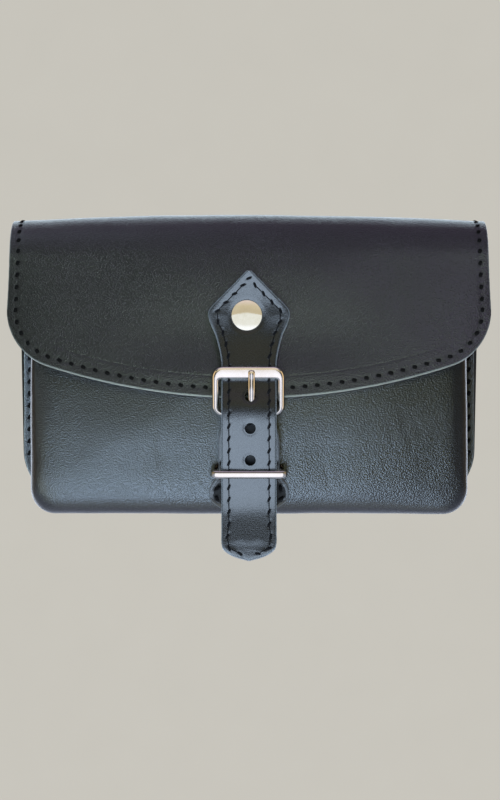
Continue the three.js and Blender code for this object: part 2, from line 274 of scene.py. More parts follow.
hideLook = {
    "pebble": (0.68, 0.52), "grainDepth": 0.11, "cloud": 34, "wrinkle": (perMm(5), perMm(5), perMm(30)),
    "wrinkleBump": 0.2, "dark": "#0c0d0e", "light": "#151618", "rubbedAndRimLit": "#767d80", "sewnShade": "#050506",
    "rough": 0.39, "polish": 0.12, "specular": 0.5, "bump": 1.0, "coat": 0.12,
}
strapLook = {
    "pebble": (0.6, 0.5), "grainDepth": 0.028, "cloud": 22, "wrinkle": (perMm(4), perMm(4), perMm(9)),
    "wrinkleBump": 0.07, "dark": "#0a0b0c", "light": "#131416", "rubbedAndRimLit": "#767d80", "sewnShade": "#040405",
    "rough": 0.3, "polish": 0.12, "specular": 0.5, "bump": 0.55, "coat": 0.15,
}
flapLook = {**hideLook, "rough": 0.45, "polish": 0.25, "grainDepth": 0.125}
# painted shade: a near-black, dull look for where the strap shades the tab
tabShadeLook = {**strapLook, "dark": "#040405", "light": "#09090b", "rough": 0.6, "specular": 0.3, "coat": 0}
cowhide = leatherMaterial("black full-grain cowhide, dyed and rolled", hideLook)
# brushed by hands: the pebbles' tops shine and the creases stay matt
brushedHide = leatherMaterial("black full-grain cowhide, dyed and brushed", flapLook)
# a closer, smoother grain with more shine
bridle = leatherMaterial("black bridle leather, dyed and waxed", strapLook)
# painted shade: dead black, dull leather for the tab where the strap covers and shades it
tabShadeLeather = leatherMaterial("black bridle leather, dyed and left dark_in_painted_shade", tabShadeLook)


# The flesh side of dyed leather, shaved: short matted fibres, dry and dull.
def fleshMaterial():
    material, tree, shader, coords = startMaterial("dyed leather flesh side, shaved")
    fibre = addNode(tree, "TexNoise", {"Scale": perMm(0.6), "Detail": 6, "Roughness": 0.7},
                    {"Vector": coords["Object"]})
    tint = addNode(tree, "Mix", {6: colour("#0f0e0e"), 7: colour("#24211f")}, {0: fibre.outputs["Fac"]},
                   data_type="RGBA")
    nap = addNode(tree, "Bump", {"Strength": 0.8, "Distance": 0.2 * mm}, {"Height": fibre.outputs["Fac"]})
    tree.links.new(tint.outputs[2], shader.inputs["Base Color"])
    tree.links.new(nap.outputs[0], shader.inputs["Normal"])
    shader.inputs["Roughness"].default_value = 0.92
    return material


# A cut leather edge, burnished: painted a pale blue-grey, a painted highlight for the bright line the edges
# catch against the black face.
def edgeMaterial():
    material, tree, shader, coords = startMaterial("cut leather edge, burnished")
    layers = addNode(tree, "TexNoise", {"Scale": perMm(0.5), "Detail": 4}, {"Vector": coords["Object"]})
    tint = addNode(tree, "Mix", {6: colour("#66676a"), 7: colour("#a3a3a0")}, {0: layers.outputs["Fac"]},
                   data_type="RGBA")
    shine = addNode(tree, "MapRange", {"To Min": 0.25, "To Max": 0.5}, {"Value": layers.outputs["Fac"]})
    rough = addNode(tree, "Bump", {"Strength": 0.3, "Distance": 0.1 * mm}, {"Height": layers.outputs["Fac"]})
    tree.links.new(tint.outputs[2], shader.inputs["Base Color"])
    tree.links.new(shine.outputs[0], shader.inputs["Roughness"])
    tree.links.new(rough.outputs[0], shader.inputs["Normal"])
    return material


# Waxed linen thread, twisted from two plies: nearly black, with a dull wax shine along the twist.
def threadMaterial():
    material, tree, shader, coords = startMaterial("black linen thread, twisted and waxed")
    ply = addNode(tree, "TexWave", {"Scale": 2.2, "Distortion": 0.4}, {"Vector": coords["UV"]},
                  bands_direction="DIAGONAL")
    tint = addNode(tree, "Mix", {6: colour("#030304"), 7: colour("#0b0b0d")}, {0: ply.outputs["Fac"]},
                   data_type="RGBA")
    twist = addNode(tree, "Bump", {"Strength": 0.6, "Distance": 0.15 * mm}, {"Height": ply.outputs["Fac"]})
    tree.links.new(tint.outputs[2], shader.inputs["Base Color"])
    tree.links.new(twist.outputs[0], shader.inputs["Normal"])
    shader.inputs["Roughness"].default_value = 0.8
    shader.inputs["Specular IOR Level"].default_value = 0.12
    return material


# Steel with bright nickel plate, polished: a warm white mirror, hazy where hands have rubbed it.
def nickelMaterial():
    material, tree, shader, coords = startMaterial("nickel plate on steel, polished")
    haze = addNode(tree, "TexNoise", {"Scale": perMm(4), "Detail": 5, "Roughness": 0.65},
                   {"Vector": coords["Object"]})
    tint = addNode(tree, "Mix", {6: colour("#dad8d3"), 7: colour("#c6bfae")}, {0: haze.outputs["Fac"]},
                   data_type="RGBA")
    shine = addNode(tree, "MapRange", {"To Min": 0.03, "To Max": 0.16}, {"Value": haze.outputs["Fac"]})
    lines = addNode(tree, "Mapping", {"Scale": (perMm(6), perMm(0.25), perMm(0.25))},
                    {"Vector": coords["Object"]})
    scratch = addNode(tree, "TexNoise", {"Scale": 1, "Detail": 3}, {"Vector": lines.outputs[0]})
    wear = addNode(tree, "Bump", {"Strength": 0.08, "Distance": 0.05 * mm},
                   {"Height": scratch.outputs["Fac"]})
    tree.links.new(tint.outputs[2], shader.inputs["Base Color"])
    tree.links.new(shine.outputs[0], shader.inputs["Roughness"])
    tree.links.new(wear.outputs[0], shader.inputs["Normal"])
    shader.inputs["Metallic"].default_value = 1.0
    return material


flesh = fleshMaterial()
cutEdge = edgeMaterial()
thread = threadMaterial()
nickel = nickelMaterial()
print("materials made")


# leather sheets: a flat grid is laid along a shape, then gets its wall and its rounded cut edges

cutBands = [(0, 0.12), (0.5, 0.3)]    # small steps beside a cut edge, for its rounding


# out of the leather's face, at a place on the sheet
def faceOf(pointAt, u, v, step):
    alongU = pointAt(u + step, v) - pointAt(u - step, v)
    alongV = pointAt(u, v + step) - pointAt(u, v - step)
    return alongU.cross(alongV).normalized()


def treeOf(points):
    tree = kdtree.KDTree(len(points))
    for i, point in enumerate(points):
        tree.insert(point, i)
    tree.balance()
    return tree


# spots are rows of (u, v) on the sheet; the relief is kept for when the sheet has its wall
def laySheet(name, spots, pointAt, step, edgeTree, slotTree, reliefAt, sewnShadeReach=0.6):
    bpy.ops.object.select_all(action="DESELECT")
    bpy.ops.mesh.primitive_grid_add(x_subdivisions=len(spots[0]) - 1, y_subdivisions=len(spots) - 1, size=2)
    sheet = bpy.context.object
    sheet.name = sheet.data.name = name
    for kept, kind in (("edge", "FLOAT"), ("sewnShade", "FLOAT"), ("relief", "FLOAT_VECTOR")):
        sheet.data.attributes.new(kept, kind, "POINT")
    edgeOf, sewnShadeOf, reliefOf = (sheet.data.attributes[kept].data for kept in ("edge", "sewnShade", "relief"))
    flat = [spot for row in spots for spot in row]
    for i, (u, v) in enumerate(flat):    # the grid's points run row by row
        point = pointAt(u, v)
        edge = edgeTree.find(point)[2] / mm
        slot = slotTree.find(point)[2] / mm
        sheet.data.vertices[i].co = point
        edgeOf[i].value = edge
        # painted shade: how near a point lies to a stitch hole, for the darker, matt leather there
        sewnShadeOf[i].value = bell(slot, sewnShadeReach)
        reliefOf[i].vector = faceOf(pointAt, u, v, step) * reliefAt(u, v, point, edge, slot) * mm
    editAll(sheet)
    bpy.ops.mesh.remove_doubles(threshold=0.002 * mm)
    bpy.ops.object.mode_set(mode="OBJECT")
    return sheet


# how far a face with a rounded edge has dropped, this far in from the edge
def rounded(edge, radius):
    return radius - math.sqrt(radius ** 2 - (radius - edge) ** 2) if edge < radius else 0


# face, flesh side and cut edge take the three materials in turn, and only the face takes the relief
def giveWall(sheet, wall, materials, cutters=()):
    for material in materials:
        sheet.data.materials.append(material)
    faceCount = len(sheet.data.vertices)
    thick = sheet.modifiers.new("wall", "SOLIDIFY")
    thick.thickness = wall * mm
    thick.offset = -1
    thick.use_quality_normals = True
    thick.material_offset = 1
    thick.material_offset_rim = 2
    applyModifiers(sheet)
    relief = sheet.data.attributes["relief"].data
    for vertex in list(sheet.data.vertices)[:faceCount]:    # Solidify keeps the face's points first
        vertex.co += relief[vertex.index].vector
    sheet.data.attributes.remove(sheet.data.attributes["relief"])
    for cutter in cutters:
        hole = sheet.modifiers.new("hole", "BOOLEAN")
        hole.object = cutter
        hole.operation = "DIFFERENCE"
        hole.solver = "EXACT"
        hole.material_mode = "TRANSFER"
    applyModifiers(sheet)
    for cutter in cutters:
        bpy.data.objects.remove(cutter)


# a punch for a round hole, its axis level to the front and tipped up by an angle
def addPunch(radius, side, depth, height, tip, length=16):
    bpy.ops.object.select_all(action="DESELECT")
    bpy.ops.mesh.primitive_cylinder_add(vertices=32, radius=radius * mm, depth=length * mm,
                                        location=place(side, depth, height),
                                        rotation=(math.pi / 2 - tip, 0, 0))
    punch = bpy.context.object
    punch.data.materials.append(flesh)
    punch.hide_render = True
    return punch


def finishPiece(piece, nodes=(), smoothAngle=50):
    onlySelect(piece)
    bpy.ops.object.shade_smooth_by_angle(angle=math.radians(smoothAngle))
    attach(piece, "root")
    if nodes:
        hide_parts(*nodes)
    print(piece.name, len(piece.data.polygons), "faces")


# sewing: rows of stitches along a line that runs inside an edge

# moves a line of (u, v) to its left
def insetLine(line, inset):
    moved = []
    for i, (u, v) in enumerate(line):
        (u0, v0), (u1, v1) = line[max(i - 1, 0)], line[min(i + 1, len(line) - 1)]
        run = math.hypot(u1 - u0, v1 - v0) or 1
        moved.append((u - (v1 - v0) / run * inset, v + (u1 - u0) / run * inset))
    return moved


# even places along a line, half a pitch in from its ends, with the direction there
def spaced(line, pitch):
    runs = [0.0]
    for (u0, v0), (u1, v1) in zip(line, line[1:]):
        runs.append(runs[-1] + math.hypot(u1 - u0, v1 - v0))
    count = max(1, round(runs[-1] / pitch))
    places = []
    for k in range(count):
        want = (k + 0.5) * runs[-1] / count
        i = min(bisect.bisect_right(runs, want), len(runs) - 1)
        (u0, v0), (u1, v1) = line[i - 1], line[i]
        part = (want - runs[i - 1]) / ((runs[i] - runs[i - 1]) or 1)
        places.append((mix(u0, u1, part), mix(v0, v1, part), u1 - u0, v1 - v0))
    return places


def mirrored(places):
    return [(-u, v, -du, dv) for u, v, du, dv in places]


sewing = {    # heights are shares of a stitch's width, and its holes lie at a share of its length
    "slant": math.radians(-22), "high": 0.66, "rise": 0.19, "dive": 0.56, "sink": 0.26, "holeAt": 0.4,
    "clear": 99,    # millimetres from a hole, too far to be dented by it
}


# where each stitch sits on the shaped leather, this far in from its edge: x along it, z out of the face
def stitchSeats(places, pointAt, step, size, reliefAt=None, inset=0, slant=sewing["slant"]):
    long, wide = size
    seats = []
    for u, v, du, dv in places:
        flat = pointAt(u, v)
        out = faceOf(pointAt, u, v, step)
        point = flat + out * (reliefAt(u, v, flat, inset, sewing["clear"]) * mm if reliefAt else 0)
        reach = math.hypot(du, dv) or 1
        ahead = pointAt(u + du / reach * step, v + dv / reach * step) - flat
        along = (Matrix.Rotation(slant, 3, out) @ ahead).normalized()
        seat = Matrix((along * long, out.cross(along) * wide, out * wide)).transposed().to_4x4()
        seat.translation = point - out * sewing["sink"] * wide * mm
        seats.append(seat)
    return seats


def stitchSlots(seats):
    along = [end * sewing["holeAt"] * mm for end in (-1, 0, 1)]
    return [seat @ Vector((x, 0, sewing["sink"] * mm)) for seat in seats for x in along]


# one stitch, a millimetre long and wide until its seat stretches it, its ends diving into their holes
def makeStitch():
    bpy.ops.object.select_all(action="DESELECT")
    bpy.ops.mesh.primitive_uv_sphere_add(segments=8, ring_count=8, radius=0.5, rotation=(0, math.pi / 2, 0))
    stitch = bpy.context.object
    bpy.ops.object.transform_apply(location=False, rotation=True, scale=False)
    for vertex in stitch.data.vertices:
        x, y, z = vertex.co * 2
        ball = (1 - x * x) ** 0.5
        fuller = (1 - x ** 6) ** 0.5 / ball if ball > 0.01 else 0    # blunter ends than a ball's
        vertex.co = Vector((x / 2, y * fuller / 2,
                            z * fuller * sewing["high"] / 2 + sewing["rise"] - sewing["dive"] * x ** 4)) * mm
    stitch.data.materials.append(thread)
    return stitch


def sewRow(name, seats):
    copies = []
    for seat in seats:
        copy = bpy.data.objects.new(name, oneStitch.data.copy())
        copy.data.transform(seat)
        bpy.context.scene.collection.objects.link(copy)
        copies.append(copy)
    onlySelect(copies[0])
    for copy in copies:
        copy.select_set(True)
    bpy.ops.object.join()
    row = bpy.context.object
    row.name = row.data.name = name
    finishPiece(row, (), 80)


oneStitch = makeStitch()


# the hide: flap, rolled top and back in one

hide = {
    "wall": 2.2, "rounding": 0.4, "flapHalf": 98, "rollHalf": 97.3, "backHalf": 95.2,
    "backFoot": 3, "backCorner": 22, "rollRadius": 20, "rollHeight": 102, "lean": math.radians(10),
    "flapFoot": 47.5, "edgeRadius": 263, "flapCorner": 24, "crown": 1.4, "crownFall": 2.8, "droop": 1.6,
    "sewInset": 3.6, "sewPitch": 5.0, "stitch": (2.4, 1.6), "groove": (0.05, 0.9), "slotDent": (0.22, 0.65),
    "sewnShadeReach": 0.7, "creaseInset": 8.2, "crease": (0.12, 0.35), "creaseEnds": (80, 94),
    "swells": [(0.35, 42, 3.1), (0.1575, 17, 8.2)], "swellFade": 6, "strapSides": (19, 31),
    "edgeSteps": 400, "sideSteps": 600,
}
rollFront = (hide["rollRadius"] * (1 + math.cos(hide["lean"])),
             hide["rollHeight"] + hide["rollRadius"] * math.sin(hide["lean"]))
cornerSide = hide["flapHalf"] - hide["flapCorner"]
cornerReach = hide["edgeRadius"] - hide["flapCorner"]
cornerRise = hide["edgeRadius"] - math.sqrt(cornerReach ** 2 - cornerSide ** 2)
cornerMeet = cornerSide * hide["edgeRadius"] / cornerReach
cornerTop = hide["flapFoot"] + cornerRise
# lengths along the hide, from the flap's lowest point up, over and down the back
flapRun = (rollFront[1] - hide["flapFoot"]) / math.cos(hide["lean"])
rollRun = hide["rollRadius"] * (math.pi - hide["lean"])
backRun = hide["rollHeight"] - hide["backFoot"]


def flapDepth(height):
    return rollFront[0] + (rollFront[1] - height) * math.tan(hide["lean"])


def flapEdge(side):
    if side <= cornerMeet:
        return hide["flapFoot"] + hide["edgeRadius"] - math.sqrt(hide["edgeRadius"] ** 2 - side ** 2)
    return cornerTop - math.sqrt(max(hide["flapCorner"] ** 2 - (side - cornerSide) ** 2, 0))


def backEdge(side):
    past = max(side - (hide["backHalf"] - hide["backCorner"]), 0)
    return hide["backFoot"] + hide["backCorner"] - math.sqrt(max(hide["backCorner"] ** 2 - past ** 2, 0))


def hideHalf(run):
    if run < flapRun:
        height = hide["flapFoot"] + run * math.cos(hide["lean"])
        up = limit((height - cornerTop) / (rollFront[1] - cornerTop))
        return mix(hide["flapHalf"], hide["rollHalf"], up)
    return mix(hide["rollHalf"], hide["backHalf"], limit((run - flapRun - rollRun) / backRun))


def hidePoint(side, run):
    across = side / hideHalf(run)
    if run < flapRun:
        height = hide["flapFoot"] + run * math.cos(hide["lean"])
        edge = flapEdge(min(abs(side), hide["flapHalf"]))
        up = limit((height - edge) / (rollFront[1] - edge))
        return place(side, flapDepth(height) - hide["droop"] * abs(across) ** 8 * (1 - up ** 3), height)
    if run < flapRun + rollRun:
        turn = (run - flapRun) / rollRun
        angle = mix(hide["lean"], math.pi, turn)
        crown = (hide["crown"] - hide["crownFall"] * across ** 2) * math.sin(turn * math.pi) ** 2
        return place(side, hide["rollRadius"] * (1 + math.cos(angle)),
                     hide["rollHeight"] + hide["rollRadius"] * math.sin(angle) + crown)
    return place(side, 0, hide["rollHeight"] - (run - flapRun - rollRun))


# rows 0 to 1 climb the flap, 1 to 2 go over the roll, 2 to 3 down the back
def hideSpot(across, row):
    if row <= 1:
        side = across * hide["flapHalf"]
        start = (flapEdge(abs(side)) - hide["flapFoot"]) / math.cos(hide["lean"])
        run = mix(start, flapRun, row)
    elif row <= 2:
        run = flapRun + rollRun * (row - 1)
    else:
        fall = hide["rollHeight"] - backEdge(abs(across * hide["backHalf"]))
        run = flapRun + rollRun + (row - 2) * fall
    return across * hideHalf(run), run


hideSides = edgeToEdge(-hide["flapHalf"], hide["flapHalf"], cutBands + [(1.1, 0.6), (9, 1)])
hideColumns = [side / hide["flapHalf"] for side in hideSides]
hideRows = stepped([    # close at both cut edges, and where the flap's crease and stitches run
    (0, 0.002), (0.009, 0.005), (0.019, 0.0105), (0.128, 0.0035), (0.18, 0.026), (1, 0.025), (2, 0.021),
    (2.9, 0.009), (2.989, 0.003), (2.995, 0.0012), (3, 0)])
hideOutline = ([hideSpot(share, 0) for share in shares(hide["edgeSteps"])]
               + [hideSpot(1, 3 * share) for share in shares(hide["sideSteps"])[1:]]
               + [hideSpot(1 - share, 3) for share in shares(hide["edgeSteps"])[1:]])
hideSewn = spaced(insetLine(hideOutline, hide["sewInset"]), hide["sewPitch"])
hideEdges = treeOf([hidePoint(sign * side, run) for side, run in hideOutline for sign in (-1, 1)])

rivet = {
    "side": -0.9, "height": 80.4, "radius": 6.1, "rim": 0.9, "dome": 1.1, "domePower": 2.4, "post": 1.9,
    "hole": 2.3, "foot": 0.2, "footInset": 0.3, "disc": 4.4, "discWall": 0.8, "slack": 1.2,
    "tilt": math.radians(5), "pull": 1.9, "pullHeight": 71, "pullReach": 14, "pullSides": (22, 62),
    "pullFoot": (50, 60), "pullTop": (96, 112),
}


# the closed strap pulls the flap's middle in below the rivet, so it tips forward above and back below
def pulledIn(side, height):
    middle = 1 - ease(*rivet["pullSides"], abs(side))
    atRivet, here = (bell(spot - rivet["pullHeight"], rivet["pullReach"])
                     for spot in (rivet["height"], height))
    reach = ease(*rivet["pullFoot"], height) * (1 - ease(*rivet["pullTop"], height))
    return rivet["pull"] * (atRivet - here) * middle * reach


def rivetPunch():
    return addPunch(rivet["hole"], rivet["side"], flapDepth(rivet["height"]), rivet["height"], hide["lean"])


def hideRelief(side, run, point, edge, slot):
    isFlap = run < flapRun
    free = ease(*hide["strapSides"], abs(side)) if isFlap else 1
    swell = swelling(point, hide["swells"]) * free * ease(0, hide["swellFade"], edge)
    fade = 1 - ease(*hide["creaseEnds"], abs(side))
    crease = dent(edge - hide["creaseInset"], hide["crease"]) * fade if isFlap else 0
    pulled = pulledIn(side, heightOf(point)) if run < flapRun + rollRun / 3 else 0
    groove = dent(edge - hide["sewInset"], hide["groove"])
    return swell + pulled - crease - groove - dent(slot, hide["slotDent"]) - rounded(edge, hide["rounding"])


hideSeats = stitchSeats(hideSewn + mirrored(hideSewn), hidePoint, probe, hide["stitch"], hideRelief,
                        hide["sewInset"])
hideSpots = [[hideSpot(across, row) for across in hideColumns] for row in hideRows]
hideSheet = laySheet("leather_hide", hideSpots, hidePoint, probe, hideEdges, treeOf(stitchSlots(hideSeats)),
                     hideRelief, hide["sewnShadeReach"])
giveWall(hideSheet, hide["wall"], [brushedHide, flesh, cutEdge], [rivetPunch()])
finishPiece(hideSheet, ["back_flap"])
sewRow("hide_stitches", hideSeats)


# the moulded body

body = {
    "wall": 1.9, "rounding": 0.45, "mouth": 102, "leanFrom": 30, "lean": 0.3, "leanPower": 1.7,
    "cornerFrom": 0.4, "cornerTo": 0.5,    # shares of the way from the middle of the base to the mouth
    "sewRow": 0.47, "sewPitch": 5.0, "stitch": (2.6, 1.4), "slotDent": (0.45, 0.65),
    "swells": [(0.4, 36, 5.5), (0.16, 14, 1.2)], "strapSides": (15, 22),
    "creaseFade": 0.08,    # share of a half turn that a crease's ends are in by
    "pressed": 2.2, "pressedSides": (40, 82), "fold": (-88, 10, -35, 40.5), "foldSlope": 0.075, "foldSoft": 2,
    "swellRows": (1.5, 5), "creaseRows": (8, 9.5), "dentRows": (7.5, 9.5), "cutRow": 1,    # rows of sections
    "probe": 0.002, "edgeSteps": 800, "sideSteps": 520, "sewSteps": 1200,
}
# one U in each row, from the flange's edge to the middle of the front: depth, half width, foot, corner
bodySections = [
    (4.4, 95.2, 3, 22), (4.4, 90.2, 9, 17), (5.2, 89, 10.4, 15.5), (7, 88.6, 9.6, 15), (14, 88.9, 5, 13),
    (22, 89.2, 1.4, 11), (30, 89.2, 0, 10), (36, 88.9, 0.5, 10), (41, 87.8, 2.2, 10.5), (44.4, 85.2, 5.8, 11),
    (46, 80, 12.5, 12), (46.6, 64, 27, 14), (46.9, 38, 45, 12), (47, 0, 66, 0),
]
# faint creases on the front: side and height of both ends, depth, width
bodyCreases = [
    (-37, 36, -33.5, 8, 0.16, 1.1), (-33, 30, -31, 12, 0.1, 0.9), (-40, 24, -38.5, 6, 0.1, 0.9),
    (61, 43, 66, 27, 0.16, 1.0), (66, 41, 70, 30, 0.12, 0.9), (57, 38, 60, 24, 0.1, 0.9),
    (-72, 40, -66, 22, 0.1, 1.2), (30, 24, 33, 9, 0.1, 1.0),
]


# the front is pressed in towards its right end, and above a slanting fold on its left
def bodyDent(side, height):
    pressed = body["pressed"] * ease(*body["pressedSides"], side)
    startSide, startHeight, endSide, endHeight = body["fold"]
    across, up = endSide - startSide, endHeight - startHeight
    above = ((height - startHeight) * across - (side - startSide) * up) / math.hypot(across, up)
    return pressed + body["foldSlope"] * (above + math.hypot(above, body["foldSoft"])) / 2


# along is -1 at the left mouth, 0 in the middle of the base and 1 at the right mouth
def bodyPoint(along, row):
    depth, half, foot, corner = through(bodySections, row)
    half, corner = max(half, 0), max(corner, 0)
    share, cornerFrom, cornerTo = abs(along), body["cornerFrom"], body["cornerTo"]
    if share < cornerFrom:
        side, height = (half - corner) * share / cornerFrom, foot
    elif share < cornerTo:
        angle = (share - cornerFrom) / (cornerTo - cornerFrom) * math.pi / 2
        side, height = half - corner + corner * math.sin(angle), foot + corner - corner * math.cos(angle)
    else:
        side, height = half, mix(foot + corner, body["mouth"], (share - cornerTo) / (1 - cornerTo))
    rise = limit((height - body["leanFrom"]) / (body["mouth"] - body["leanFrom"]))
    back = bodySections[0][0]
    side = math.copysign(side, along)
    depth = back + (depth - back) * (1 - body["lean"] * rise ** body["leanPower"])
    return place(side, depth - bodyDent(side, height) * ease(*body["dentRows"], row), height)


# how deep a crease is at a side and height: deepest in its middle, fading to its ends
def creaseAt(spot, crease):
    a, b = Vector(crease[0:2]), Vector(crease[2:4])
    t = limit((spot - a).dot(b - a) / (b - a).length_squared)
    strength = math.sin(math.pi * mix(body["creaseFade"], 1 - body["creaseFade"], t))
    return strength * dent((spot - a - (b - a) * t).length, crease[4:6])


def bodyRelief(along, row, point, edge, slot):
    side, front = point.x / mm, ease(*body["creaseRows"], row)
    free = ease(*body["swellRows"], row) * ease(*body["strapSides"], abs(side))
    spot = Vector((side, heightOf(point)))
    creases = sum(creaseAt(spot, crease) for crease in bodyCreases) * front if front > 0 else 0
    cut = rounded(edge, body["rounding"]) if row < body["cutRow"] else 0
    return swelling(point, body["swells"]) * free - creases - dent(slot, body["slotDent"]) - cut


lastRow = len(bodySections) - 1
bodyAlong = stepped([(-1, 0.011), (-0.5, 0.0075), (-0.4, 0.0066), (0.4, 0.0075), (0.5, 0.011), (1, 0)])
bodyRows = stepped([    # close at the cut edge and towards the middle of the front
    (0, 0.02), (0.08, 0.05), (0.2, 0.11), (1, 0.34), (3, 0.17), (8, 0.13), (10, 0.075), (12, 0.045),
    (lastRow, 0)])
flangeLine = [bodyPoint(2 * share - 1, body["sewRow"]) for share in shares(body["sewSteps"])]
flangeSewn = spaced([(point.x / mm, heightOf(point)) for point in flangeLine], body["sewPitch"])


def flangePoint(side, height):
    return place(side, bodySections[0][0], height)


flangeSeats = stitchSeats(flangeSewn, flangePoint, probe, body["stitch"])
bodyOutline = [(2 * share - 1, 0) for share in shares(body["edgeSteps"])]
bodyOutline += [(sign, lastRow * share) for share in shares(body["sideSteps"]) for sign in (-1, 1)]
bodyEdges = treeOf([bodyPoint(along, row) for along, row in bodyOutline])
bodySpots = [[(along, row) for along in bodyAlong] for row in bodyRows]
bodySheet = laySheet("leather_body", bodySpots, bodyPoint, body["probe"], bodyEdges,
                     treeOf(stitchSlots(flangeSeats)), bodyRelief)
giveWall(bodySheet, body["wall"], [cowhide, flesh, cutEdge])
finishPiece(bodySheet, ["front_body"])
sewRow("flange_stitches", flangeSeats)


# strips of leather: a line of stations (depth, height, half width) that runs up the front

strips = {"between": 12, "outline": 600, "leastHalf": 0.7}    # points between stations, and along the outline


def stripLine(stations):
    last = len(stations) - 1
    fine = [through(stations, i / strips["between"]) for i in range(last * strips["between"] + 1)]
    runs = [0.0]
    for a, b in zip(fine, fine[1:]):
        runs.append(runs[-1] + math.hypot(b[0] - a[0], b[1] - a[1]))
    return runs, fine


def stripAt(line, run):
    runs, fine = line
    i = int(limit(bisect.bisect_right(runs, run), 1, len(runs) - 1))
    part = (run - runs[i - 1]) / (runs[i] - runs[i - 1])
    return [mix(a, b, part) for a, b in zip(fine[i - 1], fine[i])]


# half width and run, up the right edge
def stripOutline(line):
    runs = [line[0][-1] * share for share in shares(strips["outline"])]
    return [(max(stripAt(line, run)[2], 0), run) for run in runs]


# closer together at the edges, for their rounding, and where the stitches run
def stripSpots(line, columns, step):
    across = edgeToEdge(-1, 1, [(0, 0.009), (0.045, 0.02), (0.08, 0.04), (0.2, 0.018), (0.34, 2 / columns)])
    rows = []
    for run in edgeToEdge(0, line[0][-1], cutBands + [(1.1, step)]):
        half = max(stripAt(line, run)[2], strips["leastHalf"])
        rows.append([(half * share, run) for share in across])
    return rows


# the closing strap

strap = {
    "wall": 2.6, "rounding": 0.7, "gap": 0.3, "columns": 40, "rowStep": 0.62,
    "sewInset": 3.0, "endInset": 1.7, "insetRuns": (4, 14), "sewFrom": 2, "sewLeast": 0.6, "sewPitch": 4.9,
    "stitch": (3.0, 1.15), "link": 0.5, "linkShare": 0.8, "groove": (0.04, 0.8), "slotDent": (0.12, 0.5),
    "sewnShadeReach": 0.3, "skive": 0.14, "skiveReach": 2.2, "pillow": 0.2, "pillowFrom": (3.2, 8),
    "swells": [(0.05, 9, 2.2)], "rivetDent": (0.35, 0.7), "holeDent": (0.3, 0.8),
    "stand": 0.112, "standMore": 0.0055, "bow": 2.0, "bowHeights": (54, 60, 88),
    "curl": 5.6, "curlHeights": (-17.4, 9),
    "holeRadius": 2.2, "holeSide": 0.5, "holeDepth": 55.5, "holeHeights": (22.5, 35.2, 47.9),
}
strapHead = [    # height, half width
    (57.3, 11), (62.5, 11.1), (68, 12.1), (73, 13.5), (77, 15.3), (80.2, 16.3), (82.4, 16.2), (84.6, 14.7),
    (87.5, 11.8), (93, 6.3), (98.4, 0.9),
]
strapTail = [    # depth, height, half width
    (54.2, -16.9, 0), (53.9, -15.2, 6.2), (53.7, -13, 9.6), (53.5, -10.5, 10.9), (53.6, -5, 11),
    (54.2, 5, 11), (55.4, 15, 11), (56.5, 22, 11), (57.3, 30, 11), (57.5, 36, 11), (57, 41, 11),
    (55.8, 45.5, 11), (53.7, 50, 11), (51.9, 54, 11),
]
offFlap = (strap["gap"] + strap["wall"]) / math.cos(hide["lean"])
strapLine = stripLine(strapTail + [(flapDepth(height) + offFlap, height, half) for height, half in strapHead])
strapOutline = stripOutline(strapLine)
strapSewTop = strapLine[0][-1] - strap["sewInset"]
strapInset = []    # the sewn line runs nearer the edge round the hanging end
for outer, inner in zip(insetLine(strapOutline, strap["endInset"]),
                        insetLine(strapOutline, strap["sewInset"])):
    share = ease(*strap["insetRuns"], inner[1])
    if inner[0] > strap["sewLeast"] and strap["sewFrom"] < inner[1] < strapSewTop:
        strapInset.append((mix(outer[0], inner[0], share), mix(outer[1], inner[1], share)))
strapSewn = spaced(strapInset, strap["sewPitch"])
tipSewn = [(0, strapSewTop, 1, 1)]


# it follows the flap up to the rivet, stands straighter above it, bows out over the flap's edge and curls
# forward at its end
def strapPoint(side, run):
    depth, height = stripAt(strapLine, run)[:2]
    bowFoot, bowMiddle, bowTop = strap["bowHeights"]
    bow = strap["bow"] * ease(bowFoot, bowMiddle, height) * (1 - ease(bowMiddle, bowTop, height))
    curl = strap["curl"] * (1 - ease(*strap["curlHeights"], height))
    above = max(height - rivet["height"], 0)
    head = pulledIn(side, height - above) + strap["stand"] * above + strap["standMore"] * above ** 2
    return place(side, depth + head + bow + curl, height)


# its border is skived down, the middle stands a little proud, and the holes' rims are pulled in
def strapRelief(side, run, point, edge, slot):
    height = heightOf(point)
    border = strap["skive"] * (1 - limit(edge / strap["skiveReach"])) ** 2 + rounded(edge, strap["rounding"])
    groove = dent(edge - strap["sewInset"], strap["groove"])
    middle = strap["pillow"] * ease(*strap["pillowFrom"], edge)
    fromHoles = [math.hypot(side - strap["holeSide"], height - hole) - strap["holeRadius"]
                 for hole in strap["holeHeights"]]
    rims = sum(dent(distance, strap["holeDent"]) for distance in fromHoles)
    fromRivet = math.hypot(side - rivet["side"], height - rivet["height"]) - rivet["radius"]
    sunk = groove + rims + dent(fromRivet, strap["rivetDent"]) + dent(slot, strap["slotDent"])
    return middle - border - sunk + swelling(point, strap["swells"])


